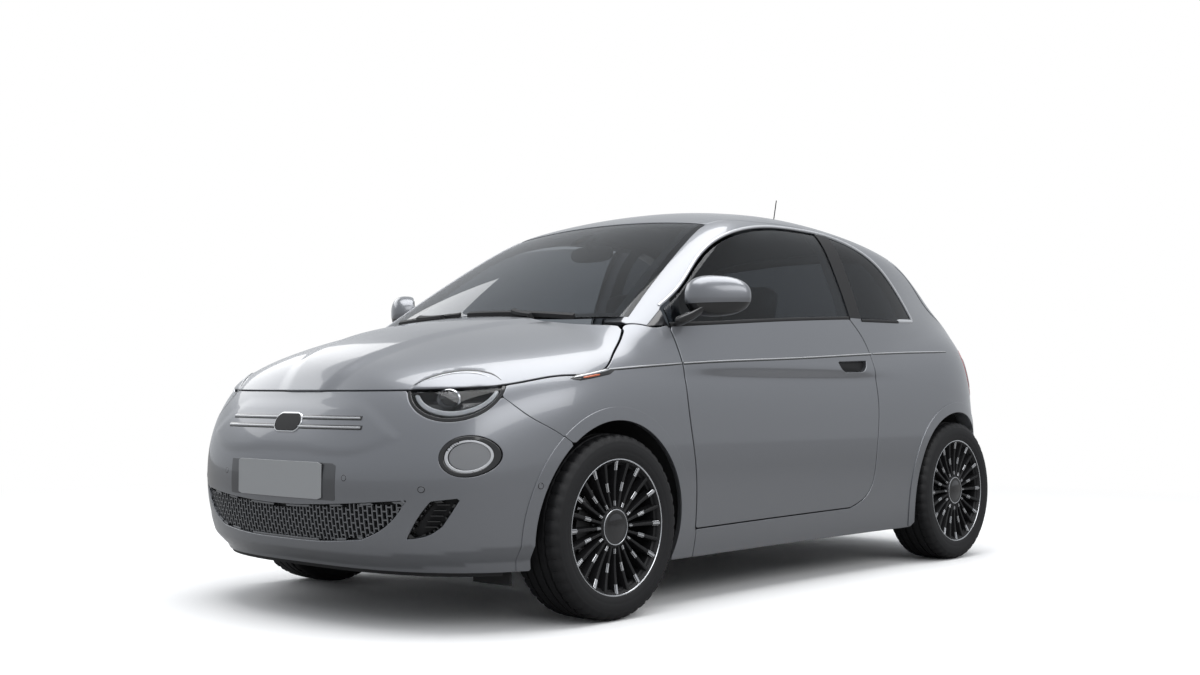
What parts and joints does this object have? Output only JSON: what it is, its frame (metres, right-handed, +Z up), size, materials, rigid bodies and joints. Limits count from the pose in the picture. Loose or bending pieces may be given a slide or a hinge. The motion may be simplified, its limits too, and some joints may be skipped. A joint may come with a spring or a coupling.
{
  "type": "small electric hatchback car",
  "caption": "Small rounded hatchback car with side doors, bonnet and tailgate that open, wheels that roll and front wheels that steer.",
  "frame": {"origin": "on the ground under the middle of the car's box", "axes": "+X to the nose, +Y to the car's left, +Z up"},
  "size_m": [3.6325, 1.9288, 1.6764],
  "materials": {
    "paint": "silver grey metallic",
    "black_trim": "grained black",
    "glass": "dark tint",
    "tyre_rubber": "matt",
    "wheel_black": "gloss black with turned edges",
    "bare_metal": "dull",
    "grey_plastic": "underbody coat",
    "seat_cloth": "woven",
    "lamp_clear": "clear lens",
    "lamp_red": "red lens"
  },
  "bodies": {
    "car": {"aerial": "black_trim", "battery_pack": "grey_plastic", "dashboard": "black_trim", "drive_unit": "bare_metal", "floor_pan": "grey_plastic", "front_bumper": "paint", "front_grille": "black_trim", "front_seats": "seat_cloth", "front_subframe": "bare_metal", "front_wing_left": "paint", "front_wing_right": "paint", "headlamps": "lamp_clear", "quarter_glass": "glass", "rear_axle": "bare_metal", "rear_bench": "seat_cloth", "rear_bumper": "paint", "roof_panel": "paint", "running_lamps": "lamp_clear", "scuttle": "black_trim", "side_frame_left": "paint", "side_frame_right": "paint", "steering_wheel": "black_trim", "tail_lamps": "lamp_red", "wheel_houses": "black_trim", "window_triangles": "black_trim", "windscreen": "glass", "wipers": "black_trim"},
    "door_left": {"door_left": "paint", "door_glass_left": "glass", "door_mirror_left": "paint"},
    "door_right": {"door_right": "paint", "door_glass_right": "glass", "door_mirror_right": "paint"},
    "bonnet": {"bonnet": "paint"},
    "tailgate": {"tailgate": "paint", "tailgate_glass": "glass"},
    "knuckle_left": {"front_knuckle_left": "bare_metal"},
    "knuckle_right": {"front_knuckle_right": "bare_metal"},
    "wheel_front_left": {"tyre_front_left": "tyre_rubber", "rim_front_left": "wheel_black", "brake_disc_front_left": "bare_metal"},
    "wheel_front_right": {"tyre_front_right": "tyre_rubber", "rim_front_right": "wheel_black", "brake_disc_front_right": "bare_metal"},
    "wheel_rear_left": {"tyre_rear_left": "tyre_rubber", "rim_rear_left": "wheel_black", "brake_disc_rear_left": "bare_metal"},
    "wheel_rear_right": {"tyre_rear_right": "tyre_rubber", "rim_rear_right": "wheel_black", "brake_disc_rear_right": "bare_metal"}
  },
  "joints": [
    {"name": "door_left_hinge", "type": "hinge", "parent": "car", "child": "door_left", "pos_m": [0.57, 0.803, 0.65], "axis": [0, 0, -1], "range_deg": [0, 65]},
    {"name": "door_right_hinge", "type": "hinge", "parent": "car", "child": "door_right", "pos_m": [0.57, -0.803, 0.65], "axis": [0, 0, 1], "range_deg": [0, 65]},
    {"name": "bonnet_hinge", "type": "hinge", "parent": "car", "child": "bonnet", "pos_m": [0.7, 0, 0.98], "axis": [0, -1, 0], "range_deg": [0, 55]},
    {"name": "tailgate_hinge", "type": "hinge", "parent": "car", "child": "tailgate", "pos_m": [-1.166, 0, 1.442], "axis": [0, 1, 0], "range_deg": [0, 80]},
    {"name": "steer_left", "type": "hinge", "parent": "car", "child": "knuckle_left", "pos_m": [1.061, 0.672, 0.175], "axis": [0, -0.184, 0.9829], "range_deg": [-35, 35]},
    {"name": "steer_right", "type": "hinge", "parent": "car", "child": "knuckle_right", "pos_m": [1.061, -0.672, 0.175], "axis": [0, 0.184, 0.9829], "range_deg": [-35, 35]},
    {"name": "roll_front_left", "type": "hinge", "parent": "knuckle_left", "child": "wheel_front_left", "pos_m": [1.061, 0.735, 0.308], "axis": [0, 1, 0], "continuous": true},
    {"name": "roll_front_right", "type": "hinge", "parent": "knuckle_right", "child": "wheel_front_right", "pos_m": [1.061, -0.735, 0.308], "axis": [0, 1, 0], "continuous": true},
    {"name": "roll_rear_left", "type": "hinge", "parent": "car", "child": "wheel_rear_left", "pos_m": [-1.261, 0.73, 0.308], "axis": [0, 1, 0], "continuous": true},
    {"name": "roll_rear_right", "type": "hinge", "parent": "car", "child": "wheel_rear_right", "pos_m": [-1.261, -0.73, 0.308], "axis": [0, 1, 0], "continuous": true}
  ],
  "couplings": [
    {"joint": "steer_right", "follows": "steer_left", "ratio": 1}
  ]
}
